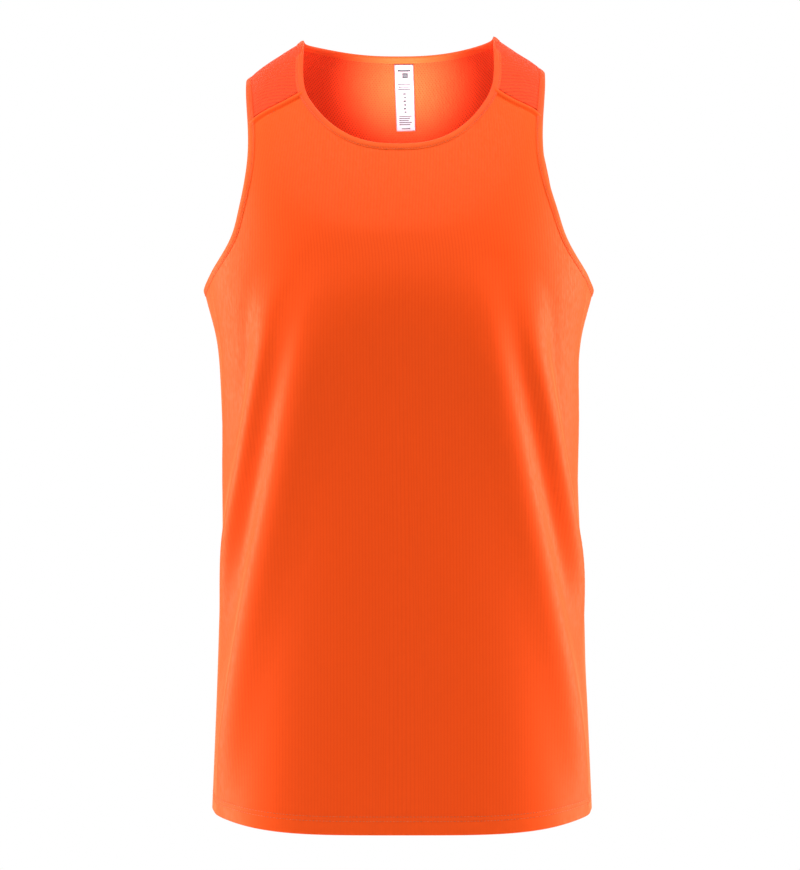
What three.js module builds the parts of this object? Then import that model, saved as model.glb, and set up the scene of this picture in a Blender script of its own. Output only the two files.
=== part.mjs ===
// Running singlet, hollow and filled out as if worn, in millimetres, +Z up.
//
// The front faces -Y and +X is on the wearer's left. The origin lies midway between the two neck
// points, where the shoulders carry the singlet.
//
// The body is a tube of closed rings. Each ring has a rise, its height up the side of the body
// from the hem, and runs over the form at that rise: the low rings are level, the high ones dip
// over the chest and lie across the shoulders, and the last one is the neck opening. A place on
// the cloth is an angle round the body (0 front centre, 90 left side, 180 back centre, -90 right
// side) and a rise. Every piece is cut from that one surface, so pieces meet at their seams.

import * as THREE from 'three';

// Cloth and trim.
const WALL = 1.2; // one layer of knit
const HEM_WALL = 2.2; // turned hem, knit on knit
const HEM_RISE = 15; // depth of the turned hem
const BINDING_WALL = 2.2; // folded binding
const BINDING_WIDTH = 7; // seen width of the neck and armhole bindings
const SEAM_GAP = 0.3; // space left between neighbouring pieces
const FRONT_SHIFT = new THREE.Vector3(0, -SEAM_GAP / 2, -SEAM_GAP / 2);
const BACK_SHIFT = new THREE.Vector3(0, SEAM_GAP / 2, SEAM_GAP / 2);

// Rings from hem to neck. wide is the power of the sine of the angle that shapes a ring's width,
// round and dip are the powers of the cosine that shape its depth and its fall towards the front,
// and brim straightens the neckline's sides.
const RING_COLUMNS = [
  'rise', 'sideZ', 'half', 'wide', 'frontZ', 'frontDepth', 'backZ', 'backDepth', 'round', 'dip', 'brim',
];
const RINGS = [
  [0, -688, 169.2, 0.5, -702, 124.0, -695, 118.0, 0.64, 2.0, 0], // hem
  [97, -591, 165.2, 0.53, -597, 121.0, -594, 115.0, 0.64, 2.0, 0],
  [194, -494, 161.6, 0.58, -497, 118.5, -495, 113.0, 0.66, 1.8, 0], // hip
  [291, -397, 158.4, 0.63, -402, 117.0, -398, 111.5, 0.71, 1.6, 0], // waist
  [378, -310, 159.8, 0.66, -322, 119.0, -313, 112.5, 0.76, 1.4, 0],
  [418, -268, 163.4, 0.68, -288, 121.0, -276, 114.5, 0.78, 1.3, 0],
  [463, -225, 174.0, 0.73, -252, 123.0, -241, 117.0, 0.8, 1.2, 0], // underarm
  [505, -183, 176.5, 0.78, -230, 123.0, -206, 117.5, 0.8, 1.1, 0],
  [548, -140, 172.0, 0.8, -212, 121.0, -172, 116.0, 0.79, 1.0, 0], // chest
  [589, -100, 164.5, 0.8, -197, 118.0, -139, 113.0, 0.77, 1.04, 0],
  [625, -64, 152.0, 0.8, -184, 115.0, -104, 109.0, 0.74, 1.06, 0],
  [655, -35.3, 134.0, 0.8, -170, 110.5, -72, 102.0, 0.7, 1.04, 0], // shoulder tip
  [688, -17, 111.0, 0.8, -136, 96.5, -38, 88.0, 0.64, 0.94, 0.35],
  [720, 0, 85.0, 0.8, -101, 80.0, -7.5, 72.0, 0.58, 0.84, 0.78], // neck opening
];
const NECK_RISE = RINGS[RINGS.length - 1][0];
const BACK_DIP = 3.2; // power of the cosine for a ring's fall towards the back
const LIFT_POWER = 4; // power of the sine that keeps the lift near the sides

// How the singlet hangs a little off square: sideways shift and lift of its left side, by rise.
const HANG = [
  { rise: 0, sway: 2.7, lift: 0 },
  { rise: 291, sway: 1.4, lift: 0 },
  { rise: 463, sway: -0.2, lift: 0 },
  { rise: 590, sway: -1.1, lift: 0.8 },
  { rise: 655, sway: -3.1, lift: 3.8 },
  { rise: 688, sway: -1.6, lift: 2 },
  { rise: 720, sway: -0.4, lift: 1.8 },
];

// Armhole: an oval round the side line, squarer above its middle than below. reach is in degrees.
const ARMHOLE = { middle: 575, above: 80, below: 112, frontReach: 36, backReach: 37.5 };
const ARMHOLE_POWER_ABOVE = 3;
const ARMHOLE_POWER_BELOW = 2.1;

// Forward shoulder seam: where it leaves the armhole, as a turn round the oval, and where it
// meets the neck, as an angle round the body.
const SEAM_TURN = 160;
const SEAM_NECK_ANGLE = 76;

// Folds: soft ridges and troughs that start under the chest and slant outwards as they fall. angle
// is where the line of a fold crosses FOLD_LEVEL, slant is degrees towards the nearer side for each
// millimetre down, inner and outer are half-widths in degrees towards the centre line and towards
// the side, and out is how far the crest stands out, less than 0 for a trough.
const FOLDS = [
  { angle: -21, slant: 0.103, inner: 13, outer: 6.6, out: 8.3, top: -200, bottom: -720 },
  { angle: -30.7, slant: 0.135, inner: 12, outer: 6, out: -4, top: -176, bottom: -620 },
  { angle: -34.3, slant: 0.147, inner: 8.7, outer: 7.7, out: 11, top: -200, bottom: -548 },
  { angle: -45.7, slant: 0.09, inner: 4.2, outer: 3.4, out: -2, top: -195, bottom: -430 },
  { angle: -65.5, slant: 0.05, inner: 11, outer: 3.2, out: 4.4, top: -192, bottom: -485 },
  { angle: 20.3, slant: 0.105, inner: 12.6, outer: 7.8, out: 7.6, top: -200, bottom: -730 },
  { angle: 30.4, slant: 0.085, inner: 6.5, outer: 7.2, out: -3, top: -169, bottom: -590 },
  { angle: 35.3, slant: 0.147, inner: 8.4, outer: 8.6, out: 10.7, top: -200, bottom: -560 },
  { angle: 46.5, slant: 0.119, inner: 3.2, outer: 4.1, out: -2.7, top: -200, bottom: -600 },
  { angle: 68, slant: 0.055, inner: 12, outer: 3.2, out: 4.8, top: -192, bottom: -440 },
  { angle: 159, slant: 0.1, inner: 13, outer: 7, out: 7.5, top: -189, bottom: -700 },
  { angle: 149, slant: 0.11, inner: 9, outer: 6.5, out: -3.5, top: -169, bottom: -600 },
  { angle: 143.5, slant: 0.15, inner: 8.5, outer: 7.5, out: 9.5, top: -199, bottom: -550 },
  { angle: 131, slant: 0.1, inner: 4, outer: 4, out: -2, top: -194, bottom: -480 },
  { angle: 115, slant: 0.06, inner: 10, outer: 3.6, out: 4, top: -192, bottom: -460 },
  { angle: -158, slant: 0.107, inner: 12, outer: 7.5, out: 8, top: -192, bottom: -690 },
  { angle: -148.5, slant: 0.095, inner: 7.5, outer: 6.5, out: -3.2, top: -172, bottom: -585 },
  { angle: -142, slant: 0.14, inner: 9, outer: 8, out: 10, top: -196, bottom: -530 },
  { angle: -133, slant: 0.12, inner: 3.5, outer: 4, out: -2.4, top: -196, bottom: -520 },
  { angle: -113, slant: 0.055, inner: 11, outer: 3.4, out: 4.4, top: -197, bottom: -490 },
];
const FOLD_LEVEL = -270;
const FOLD_GROW = 110; // height over which a fold grows in below its top
const FOLD_DIE = 110; // height over which it dies away above its bottom

// Care label, hung from the lower edge of the back of the neck binding.
const LABEL = { left: -4.6, width: 17.9, length: 63, wall: 1, lean: 2.2, lift: 2.5 };

// Fineness of the walls.
const PANEL_COLUMNS = 30;
const SIDE_ROWS = 11;
const FRONT_ARMHOLE_ROWS = 14;
const BACK_ARMHOLE_ROWS = 18;
const SHOULDER_ROWS = 4;
const ROW_BEND = 3; // power by which a row leaves the centre line level and bends towards its end
const ROW_LAG = 45;
const FRONT_LEAD = 660;
const BACK_LEAD = 697;
const LABEL_COLUMNS = 2;
const LABEL_ROWS = 6;

const KNIT = { color: 0xf4531c, roughness: 0.72, metalness: 0 };
const MESH_KNIT = { color: 0xf03c14, roughness: 0.8, metalness: 0 };
const TRIM = { color: 0xfa6a2c, roughness: 0.7, metalness: 0 };
const WOVEN_TAPE = { color: 0xf6e6e6, roughness: 0.6, metalness: 0 };

// Natural cubic spline through (xs, ys).
function naturalSpline(xs, ys) {
  const last = xs.length - 1;
  const bend = new Array(xs.length).fill(0);
  const carry = new Array(xs.length).fill(0);
  for (let i = 1; i < last; i += 1) {
    const before = xs[i] - xs[i - 1];
    const after = xs[i + 1] - xs[i];
    const pivot = 2 * (before + after) - before * carry[i - 1];
    const change = (ys[i + 1] - ys[i]) / after - (ys[i] - ys[i - 1]) / before;
    carry[i] = after / pivot;
    bend[i] = (6 * change - before * bend[i - 1]) / pivot;
  }
  for (let i = last - 1; i > 0; i -= 1) bend[i] -= carry[i] * bend[i + 1];
  return (x) => {
    let i = 0;
    while (i < last - 1 && x > xs[i + 1]) i += 1;
    const span = xs[i + 1] - xs[i];
    const from = x - xs[i];
    const to = xs[i + 1] - x;
    const cubic = (bend[i] * to ** 3 + bend[i + 1] * from ** 3) / (6 * span);
    const left = (ys[i] / span - (bend[i] * span) / 6) * to;
    const right = (ys[i + 1] / span - (bend[i + 1] * span) / 6) * from;
    return cubic + left + right;
  };
}

const ringRises = RINGS.map((ring) => ring[0]);
const ringCurves = RING_COLUMNS.slice(1).map((name, column) => [
  name,
  naturalSpline(ringRises, RINGS.map((ring) => ring[column + 1])),
]);
const hangRises = HANG.map((row) => row.rise);
const swayAt = naturalSpline(hangRises, HANG.map((row) => row.sway));
const liftAt = naturalSpline(hangRises, HANG.map((row) => row.lift));

function ringAt(rise) {
  return Object.fromEntries(ringCurves.map(([name, curve]) => [name, curve(rise)]));
}

// Point of the smooth form, without folds.
function formPoint(angle, rise) {
  const ring = ringAt(rise);
  const sine = Math.sin(THREE.MathUtils.degToRad(angle));
  const cosine = Math.cos(THREE.MathUtils.degToRad(angle));
  const across = Math.abs(sine);
  const level = Math.abs(cosine);
  const brim = cosine > 0 ? Math.max(0, ring.brim) : 0;
  const along = level + brim * Math.sqrt(level) * (1 - level) ** 3;
  const side = Math.sign(sine);
  const depth = cosine > 0 ? -ring.frontDepth : ring.backDepth;
  const fall = cosine > 0
    ? (ring.frontZ - ring.sideZ) * along ** ring.dip
    : (ring.backZ - ring.sideZ) * along ** BACK_DIP;
  return new THREE.Vector3(
    side * ring.half * across ** ring.wide + swayAt(rise),
    depth * along ** ring.round,
    ring.sideZ + fall + side * liftAt(rise) * across ** LIFT_POWER,
  );
}

// Directions over the form: per degree round the body, per millimetre of rise, and outwards.
function formFrame(angle, rise) {
  const angleStep = 0.5;
  const riseStep = 1;
  const round = formPoint(angle + angleStep, rise).sub(formPoint(angle - angleStep, rise));
  const up = formPoint(angle, rise + riseStep).sub(formPoint(angle, rise - riseStep));
  round.divideScalar(2 * angleStep);
  up.divideScalar(2 * riseStep);
  return { round, up, out: round.clone().cross(up).normalize() };
}

// 0 outside the fold's height, 1 along most of it, eased at both ends.
function foldStrength(fold, z) {
  const { smoothstep } = THREE.MathUtils;
  const grown = 1 - smoothstep(z, fold.top - FOLD_GROW, fold.top);
  return grown * smoothstep(z, fold.bottom, fold.bottom + FOLD_DIE);
}

// How far the folds push the cloth out at an angle and height.
function foldOut(angle, z) {
  let out = 0;
  for (const fold of FOLDS) {
    const toSide = Math.sign(fold.angle) * (Math.abs(fold.angle) < 90 ? 1 : -1);
    const line = fold.angle + toSide * fold.slant * (FOLD_LEVEL - z);
    const from = toSide * (THREE.MathUtils.euclideanModulo(angle - line + 180, 360) - 180);
    const width = from > 0 ? fold.outer : fold.inner;
    out += fold.out * foldStrength(fold, z) * Math.exp(-((from / width) ** 2));
  }
  return out;
}

// Point of the cloth at mid-wall, moved outwards by offset.
function clothPoint(angle, rise, offset = 0) {
  const point = formPoint(angle, rise);
  const { out } = formFrame(angle, rise);
  return point.addScaledVector(out, foldOut(angle, point.z) + offset);
}

// Place reached by a short step, a vector in space, over the form.
function stepOverForm(angle, rise, step) {
  const { round, up } = formFrame(angle, rise);
  const rr = round.dot(round);
  const ru = round.dot(up);
  const uu = up.dot(up);
  const sr = step.dot(round);
  const su = step.dot(up);
  const det = rr * uu - ru * ru;
  return { angle: angle + (sr * uu - su * ru) / det, rise: rise + (su * rr - sr * ru) / det };
}

// Cut edge of an armhole. turn runs from 0 at the underarm, up the front, over the shoulder at
// 180 and down the back. side is 1 for +X and -1 for -X.
function armholeEdge(turn, side) {
  const sine = Math.sin(THREE.MathUtils.degToRad(turn));
  const cosine = Math.cos(THREE.MathUtils.degToRad(turn));
  const above = cosine < 0;
  const power = 2 / (above ? ARMHOLE_POWER_ABOVE : ARMHOLE_POWER_BELOW);
  const reach = sine > 0 ? -ARMHOLE.frontReach : ARMHOLE.backReach;
  const height = above ? ARMHOLE.above : -ARMHOLE.below;
  return {
    angle: side * (90 + reach * Math.abs(sine) ** power),
    rise: ARMHOLE.middle + height * Math.abs(cosine) ** power,
  };
}

// The armhole edge moved over the cloth by width, away from the hole.
function armholeRing(turn, side, width) {
  const turnStep = 0.5;
  const edge = armholeEdge(turn, side);
  const before = armholeEdge(turn - turnStep, side);
  const after = armholeEdge(turn + turnStep, side);
  const along = formPoint(after.angle, after.rise).sub(formPoint(before.angle, before.rise));
  const { out } = formFrame(edge.angle, edge.rise);
  const away = along.cross(out).normalize().multiplyScalar(-side * width);
  return stepOverForm(edge.angle, edge.rise, away);
}

// Rise of the place that lies width below the neck opening's edge.
function neckRise(angle, width) {
  return NECK_RISE - width / formFrame(angle, NECK_RISE).up.length();
}

// Evenly spaced numbers, both ends included.
function spread(from, to, steps) {
  return Array.from({ length: steps + 1 }, (_, i) => from + ((to - from) * i) / steps);
}

// Turns between two turns of the armhole that lie evenly far apart along its edge.
function evenTurns(from, to, steps) {
  const fine = spread(from, to, 240);
  const points = fine.map((turn) => armholeEdge(turn, 1)).map(({ angle, rise }) => formPoint(angle, rise));
  const lengths = [0];
  points.slice(1).forEach((point, i) => lengths.push(lengths[i] + point.distanceTo(points[i])));
  return spread(0, lengths[lengths.length - 1], steps).map((length) => {
    const next = Math.max(1, lengths.findIndex((reached) => reached >= length - 1e-6));
    const share = (length - lengths[next - 1]) / (lengths[next] - lengths[next - 1]);
    return THREE.MathUtils.lerp(fine[next - 1], fine[next], share);
  });
}

const trimReach = BINDING_WIDTH + 1.5 * SEAM_GAP;
const frontTurns = evenTurns(0, SEAM_TURN, FRONT_ARMHOLE_ROWS);
const backTurns = evenTurns(360, SEAM_TURN, BACK_ARMHOLE_ROWS);

// Side edge of a panel from hem to neck, as angle and rise: side seam, armhole, shoulder seam.
function panelEdge(turns, side) {
  const armhole = turns.map((turn) => armholeRing(turn, side, trimReach));
  const hemStep = SEAM_GAP;
  const sideRises = [0, HEM_RISE - hemStep, ...spread(HEM_RISE + hemStep, armhole[0].rise, SIDE_ROWS)];
  const sideSeam = sideRises.slice(0, -1).map((rise) => ({ angle: side * 90, rise }));
  const from = armhole[armhole.length - 1];
  const neckAngle = side * SEAM_NECK_ANGLE;
  const to = { angle: neckAngle, rise: neckRise(neckAngle, trimReach) };
  const shoulder = spread(0, 1, SHOULDER_ROWS).slice(1).map((share) => ({
    angle: THREE.MathUtils.lerp(from.angle, to.angle, share),
    rise: THREE.MathUtils.lerp(from.rise, to.rise, share),
  }));
  return [...sideSeam, ...armhole, ...shoulder];
}

// Rises down a panel's centre line that go with the rows of its side edge. The rows lag behind
// the side seam, so that they run up into the armhole, and then climb early, so that they come
// down into the shoulder. lead is how far they have come where the shoulder seam starts.
function centreRises(edge, turns, centre, lead) {
  const top = neckRise(centre, trimReach);
  const sideCount = edge.length - turns.length - SHOULDER_ROWS;
  const underarm = edge[sideCount].rise;
  const start = underarm - ROW_LAG;
  const sideRises = edge.slice(0, sideCount).map(({ rise }) => (
    rise < HEM_RISE ? rise : THREE.MathUtils.mapLinear(rise, HEM_RISE, underarm, HEM_RISE, start)
  ));
  const armholeRises = spread(0, 1, turns.length - 1).map((share) => (
    THREE.MathUtils.lerp(start, lead, (1 - (1 - share) ** 3) ** 2)
  ));
  const shoulderRises = spread(lead, top, SHOULDER_ROWS).slice(1);
  return [...sideRises, ...armholeRises, ...shoulderRises];
}

// Grid of places over a panel. centre is 0 for the front and 180 for the back. Rows run across
// from edge to edge, and the last row follows the neck.
function panelPlaces(centre, turns, lead) {
  const edges = { left: panelEdge(turns, -1), right: panelEdge(turns, 1) };
  const rises = centreRises(edges.right, turns, centre, lead);
  const rowCount = rises.length;
  return rises.map((centreRise, row) => {
    const neckShare = Math.max(0, 1 - (rowCount - 1 - row) / SHOULDER_ROWS);
    return spread(-1, 1, PANEL_COLUMNS).map((share) => {
      const edge = (share < 0 ? edges.left : edges.right)[row];
      const side = share < 0 ? -1 : 1;
      const reach = Math.abs(share);
      const angle = side * THREE.MathUtils.lerp(centre, Math.abs(edge.angle), reach);
      const straight = THREE.MathUtils.lerp(centreRise, edge.rise, reach ** ROW_BEND);
      const rise = THREE.MathUtils.lerp(straight, neckRise(angle, trimReach), neckShare);
      return { angle, rise };
    });
  });
}

// Closed wall between an outer and an inner grid of points. With wrap set, each row closes on
// itself.
function wallGeometry(outer, inner, wrap = false) {
  const rows = outer.length;
  const columns = outer[0].length;
  const points = [...outer.flat(), ...inner.flat()];
  const triangles = [];
  const quad = (a, b, c, d) => {
    const crosswise = points[a].distanceTo(points[c]) > points[b].distanceTo(points[d]);
    if (crosswise) triangles.push([a, b, d], [b, c, d]);
    else triangles.push([a, b, c], [a, c, d]);
  };
  const at = (row, column) => row * columns + (column % columns);
  const shift = rows * columns;
  const across = wrap ? columns : columns - 1;
  for (let row = 0; row < rows - 1; row += 1) {
    for (let column = 0; column < across; column += 1) {
      const corners = [at(row, column), at(row, column + 1), at(row + 1, column + 1), at(row + 1, column)];
      quad(...corners);
      quad(...corners.map((corner) => corner + shift).reverse());
    }
  }
  for (let column = 0; column < across; column += 1) {
    const low = [at(0, column + 1), at(0, column)];
    const high = [at(rows - 1, column), at(rows - 1, column + 1)];
    quad(low[0], low[1], low[1] + shift, low[0] + shift);
    quad(high[0], high[1], high[1] + shift, high[0] + shift);
  }
  if (!wrap) {
    for (let row = 0; row < rows - 1; row += 1) {
      const left = [at(row, 0), at(row + 1, 0)];
      const right = [at(row + 1, columns - 1), at(row, columns - 1)];
      quad(left[0], left[1], left[1] + shift, left[0] + shift);
      quad(right[0], right[1], right[1] + shift, right[0] + shift);
    }
  }
  const volume = triangles.reduce((sum, [a, b, c]) => (
    sum + points[a].dot(new THREE.Vector3().crossVectors(points[b], points[c]))
  ), 0);
  const index = volume > 0 ? triangles.flat() : triangles.map(([a, b, c]) => [a, c, b]).flat();
  const geometry = new THREE.BufferGeometry().setFromPoints(points);
  geometry.setIndex(index);
  geometry.computeVertexNormals();
  return geometry;
}

function namedMesh(name, geometry, finish) {
  const mesh = new THREE.Mesh(geometry, new THREE.MeshStandardMaterial(finish));
  mesh.name = name;
  return mesh;
}

// A panel: its outer face stays smooth at the hem, where the wall thickens inwards.
function makePanel(name, centre, turns, lead, shift, finish) {
  const places = panelPlaces(centre, turns, lead);
  const outer = places.map((row) => row.map(({ angle, rise }) => clothPoint(angle, rise, WALL / 2)));
  const inner = places.map((row) => row.map(({ angle, rise }) => {
    const wall = rise < HEM_RISE ? HEM_WALL : WALL;
    return clothPoint(angle, rise, WALL / 2 - wall);
  }));
  const mesh = namedMesh(name, wallGeometry(outer, inner), finish);
  mesh.position.copy(shift);
  return mesh;
}

// A binding: a closed strip from the cut edge to the panels, its points shared with theirs.
function makeBinding(name, edge, base) {
  const face = (offset) => [edge, base].map((places) => (
    places.map(({ angle, rise }) => clothPoint(angle, rise, offset))
  ));
  return namedMesh(name, wallGeometry(face(BINDING_WALL / 2), face(-BINDING_WALL / 2), true), TRIM);
}

function makeArmholeBinding(name, side) {
  const turns = [...frontTurns.slice(0, -1), ...[...backTurns].reverse().slice(0, -1)];
  const edge = turns.map((turn) => armholeEdge(turn, side));
  const base = turns.map((turn) => armholeRing(turn, side, BINDING_WIDTH));
  return makeBinding(name, edge, base);
}

function makeNeckBinding() {
  const frontAngles = spread(-SEAM_NECK_ANGLE, SEAM_NECK_ANGLE, PANEL_COLUMNS);
  const backAngles = spread(SEAM_NECK_ANGLE, 360 - SEAM_NECK_ANGLE, PANEL_COLUMNS);
  const angles = [...frontAngles.slice(0, -1), ...backAngles.slice(0, -1)];
  const edge = angles.map((angle) => ({ angle, rise: NECK_RISE }));
  const base = angles.map((angle) => ({ angle, rise: neckRise(angle, BINDING_WIDTH) }));
  return makeBinding('neck_binding', edge, base);
}

// Angle on the back at which a ring is x to the side of the centre.
function backAngleAt(x, rise) {
  const ring = ringAt(rise);
  const share = Math.abs(x - swayAt(rise)) / ring.half;
  const fromCentre = THREE.MathUtils.radToDeg(Math.asin(share ** (1 / ring.wide)));
  return 180 - Math.sign(x - swayAt(rise)) * fromCentre;
}

// The label follows the inside of the back and stands off a little at its free end.
function makeLabel() {
  const top = neckRise(180, trimReach);
  const stretch = formFrame(180, top).up.length();
  const face = (offset) => spread(0, 1, LABEL_ROWS).map((down) => {
    const rise = top - (down * LABEL.length) / stretch;
    const left = LABEL.left + LABEL.lean * down;
    const clear = WALL / 2 + 2 * SEAM_GAP + LABEL.wall / 2 + LABEL.lift * down ** 2;
    return spread(left, left + LABEL.width, LABEL_COLUMNS).map((x) => (
      clothPoint(backAngleAt(x, rise), rise, offset - clear)
    ));
  });
  return namedMesh('care_label', wallGeometry(face(LABEL.wall / 2), face(-LABEL.wall / 2)), WOVEN_TAPE);
}

const singlet = new THREE.Group();
singlet.add(
  makePanel('front_panel', 0, frontTurns, FRONT_LEAD, FRONT_SHIFT, KNIT),
  makePanel('back_panel', 180, backTurns, BACK_LEAD, BACK_SHIFT, MESH_KNIT),
  makeNeckBinding(),
  makeArmholeBinding('armhole_binding_left', -1),
  makeArmholeBinding('armhole_binding_right', 1),
  makeLabel(),
);

export default singlet;
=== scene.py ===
"""Looks of a running singlet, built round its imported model.

The singlet is hollow and filled out as if worn. Its front faces -Y, +X is on the wearer's left and
the origin lies midway between the two neck points. Shapes are worked out in millimetres, as
functions of an angle round the body (0 front centre, 90 left side, 180 back centre, -90 right
side) and a rise up its side from the hem, and become metres when a mesh is made.
"""

from __future__ import annotations

import logging
from dataclasses import dataclass, field
from enum import Enum
from functools import partial
from typing import Callable, Optional, Sequence, Union

import bmesh
import bpy
import numpy as np
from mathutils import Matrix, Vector


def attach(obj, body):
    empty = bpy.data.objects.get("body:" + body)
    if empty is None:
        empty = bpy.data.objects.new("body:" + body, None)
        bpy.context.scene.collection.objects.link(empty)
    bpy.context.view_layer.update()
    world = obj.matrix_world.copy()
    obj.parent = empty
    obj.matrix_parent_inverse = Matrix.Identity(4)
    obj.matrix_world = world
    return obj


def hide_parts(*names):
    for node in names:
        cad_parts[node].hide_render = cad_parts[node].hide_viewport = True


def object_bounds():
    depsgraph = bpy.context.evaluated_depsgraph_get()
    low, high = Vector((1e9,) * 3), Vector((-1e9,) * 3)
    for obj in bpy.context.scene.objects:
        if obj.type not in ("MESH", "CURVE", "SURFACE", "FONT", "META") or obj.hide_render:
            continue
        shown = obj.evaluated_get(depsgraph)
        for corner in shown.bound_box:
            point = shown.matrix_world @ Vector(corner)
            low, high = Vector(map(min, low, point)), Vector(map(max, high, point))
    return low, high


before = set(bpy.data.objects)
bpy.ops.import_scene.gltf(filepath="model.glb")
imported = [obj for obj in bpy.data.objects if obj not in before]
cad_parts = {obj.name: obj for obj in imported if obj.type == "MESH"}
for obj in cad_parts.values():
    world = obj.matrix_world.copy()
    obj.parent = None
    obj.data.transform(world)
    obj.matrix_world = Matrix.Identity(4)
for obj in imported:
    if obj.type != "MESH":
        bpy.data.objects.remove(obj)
CAD_BOX = [list(corner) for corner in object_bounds()]

LOG = logging.getLogger("singlet")
Array = np.ndarray
Socket = bpy.types.NodeSocket
Value = Union[float, Socket]
Places = Union[float, Array]
Colour = tuple[float, float, float]
Position = tuple[float, float, float]
BODY = "root"
METRE = 0.001  # metres in a millimetre

# Cloth and trim, in millimetres.
CLOTH = 0.9  # one layer of knit
HEM_DEPTH = 15.0  # depth of the turned hem
BINDING_WIDTH = 7.0  # seen width of the neck and armhole bindings
TUCK = 2.5  # how far inside a binding's fold the cloth's own edge lies

# Rings of the form from hem to neck. wide is the power of the sine of the angle that shapes a
# ring's width, round and dip are the powers of the cosine that shape its depth and its fall
# towards the front, and brim straightens the neckline's sides.
RING_COLUMNS = (
    "side_z", "half", "wide", "front_z", "front_depth", "back_z", "back_depth", "round", "dip",
    "brim",
)
RING_RISES = np.array([0, 97, 194, 291, 378, 418, 463, 505, 548, 589, 625, 655, 688, 720], float)
RINGS = np.array([
    (-688, 169.2, 0.5, -702, 124.0, -695, 118.0, 0.64, 2.0, 0),  # hem
    (-591, 165.2, 0.53, -597, 121.0, -594, 115.0, 0.64, 2.0, 0),
    (-494, 161.6, 0.58, -497, 118.5, -495, 113.0, 0.66, 1.8, 0),  # hip
    (-397, 158.4, 0.63, -402, 117.0, -398, 111.5, 0.71, 1.6, 0),  # waist
    (-310, 159.8, 0.66, -322, 119.0, -313, 112.5, 0.76, 1.4, 0),
    (-268, 163.4, 0.68, -288, 121.0, -276, 114.5, 0.78, 1.3, 0),
    (-225, 174.0, 0.73, -252, 123.0, -241, 117.0, 0.8, 1.2, 0),  # underarm
    (-183, 176.5, 0.78, -230, 123.0, -206, 117.5, 0.8, 1.1, 0),
    (-140, 172.0, 0.8, -212, 121.0, -172, 116.0, 0.79, 1.0, 0),  # chest
    (-100, 164.5, 0.8, -197, 118.0, -139, 113.0, 0.77, 1.04, 0),
    (-64, 152.0, 0.8, -184, 115.0, -104, 109.0, 0.74, 1.06, 0),
    (-35.3, 134.0, 0.8, -170, 110.5, -72, 102.0, 0.7, 1.04, 0),  # shoulder tip
    (-17, 111.0, 0.8, -136, 96.5, -38, 88.0, 0.64, 0.94, 0.35),
    (0, 85.0, 0.8, -101, 80.0, -7.5, 72.0, 0.58, 0.84, 0.78),  # neck opening
])
NECK_RISE = float(RING_RISES[-1])
BACK_DIP = 3.2
LIFT_POWER = 4.0

# How the singlet hangs a little off square: sideways shift and lift of its left side, by rise.
HANG_RISES = np.array([0, 291, 463, 590, 655, 688, 720], float)
HANG = np.array([(2.7, 0), (1.4, 0), (-0.2, 0), (-1.1, 0.8), (-3.1, 3.8), (-1.6, 2), (-0.4, 1.8)])

# Armholes: ovals round the side lines. reach is in degrees, the rest in millimetres of rise.
ARMHOLE_MIDDLE = 575.0
ARMHOLE_ABOVE = 80.0
ARMHOLE_BELOW = 112.0
ARMHOLE_FRONT_REACH = 36.0
ARMHOLE_BACK_REACH = 37.5
ARMHOLE_POWER_ABOVE = 3.0
ARMHOLE_POWER_BELOW = 2.1

# Forward shoulder seam: the turn at which it leaves the armhole and the angle at the neck.
SEAM_TURN = 160.0
SEAM_NECK_ANGLE = 76.0


@dataclass(frozen=True)
class Fold:
    """A soft ridge or trough that slants outwards as it falls.

    angle is where its line crosses FOLD_LEVEL, slant is degrees towards the nearer side for each
    millimetre down, inner and outer are half-widths in degrees towards the centre line and
    towards the side, out is how far the crest stands out (less than 0 for a trough), top and
    bottom are heights.
    """

    angle: float
    slant: float
    inner: float
    outer: float
    out: float
    top: float
    bottom: float


FOLDS = (
    Fold(-21, 0.103, 13, 6.6, 8.3, -200, -720),
    Fold(-30.7, 0.135, 12, 6, -4, -176, -620),
    Fold(-34.3, 0.147, 8.7, 7.7, 11, -200, -548),
    Fold(-45.7, 0.09, 4.2, 3.4, -2, -195, -430),
    Fold(-65.5, 0.05, 11, 3.2, 4.4, -192, -485),
    Fold(20.3, 0.105, 12.6, 7.8, 7.6, -200, -730),
    Fold(30.4, 0.085, 6.5, 7.2, -3, -169, -590),
    Fold(35.3, 0.147, 8.4, 8.6, 10.7, -200, -560),
    Fold(46.5, 0.119, 3.2, 4.1, -2.7, -200, -600),
    Fold(68, 0.055, 12, 3.2, 4.8, -192, -440),
    Fold(159, 0.1, 13, 7, 7.5, -189, -700),
    Fold(149, 0.11, 9, 6.5, -3.5, -169, -600),
    Fold(143.5, 0.15, 8.5, 7.5, 9.5, -199, -550),
    Fold(131, 0.1, 4, 4, -2, -194, -480),
    Fold(115, 0.06, 10, 3.6, 4, -192, -460),
    Fold(-158, 0.107, 12, 7.5, 8, -192, -690),
    Fold(-148.5, 0.095, 7.5, 6.5, -3.2, -172, -585),
    Fold(-142, 0.14, 9, 8, 10, -196, -530),
    Fold(-133, 0.12, 3.5, 4, -2.4, -196, -520),
    Fold(-113, 0.055, 11, 3.4, 4.4, -197, -490),
)
FOLD_LEVEL = -270.0  # height at which the angle of each fold is given
FOLD_GROW = 110.0  # height over which a fold grows in below its top
FOLD_DIE = 110.0  # height over which it dies away above its bottom


class Side(Enum):
    """The two sides of the singlet, by the sign of X."""

    RIGHT = -1
    LEFT = 1


def linear(red: float, green: float, blue: float) -> tuple[float, float, float, float]:
    """A display colour (0-255) as the linear colour that shaders take.

    Args:
        red: Red, 0 to 255.
        green: Green, 0 to 255.
        blue: Blue, 0 to 255.

    Returns:
        Linear red, green, blue and an alpha of 1.
    """
    shares = np.array([red, green, blue]) / 255
    low, high = shares / 12.92, ((shares + 0.055) / 1.055) ** 2.4
    return (*[float(x) for x in np.where(shares < 0.04045, low, high)], 1.0)


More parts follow.
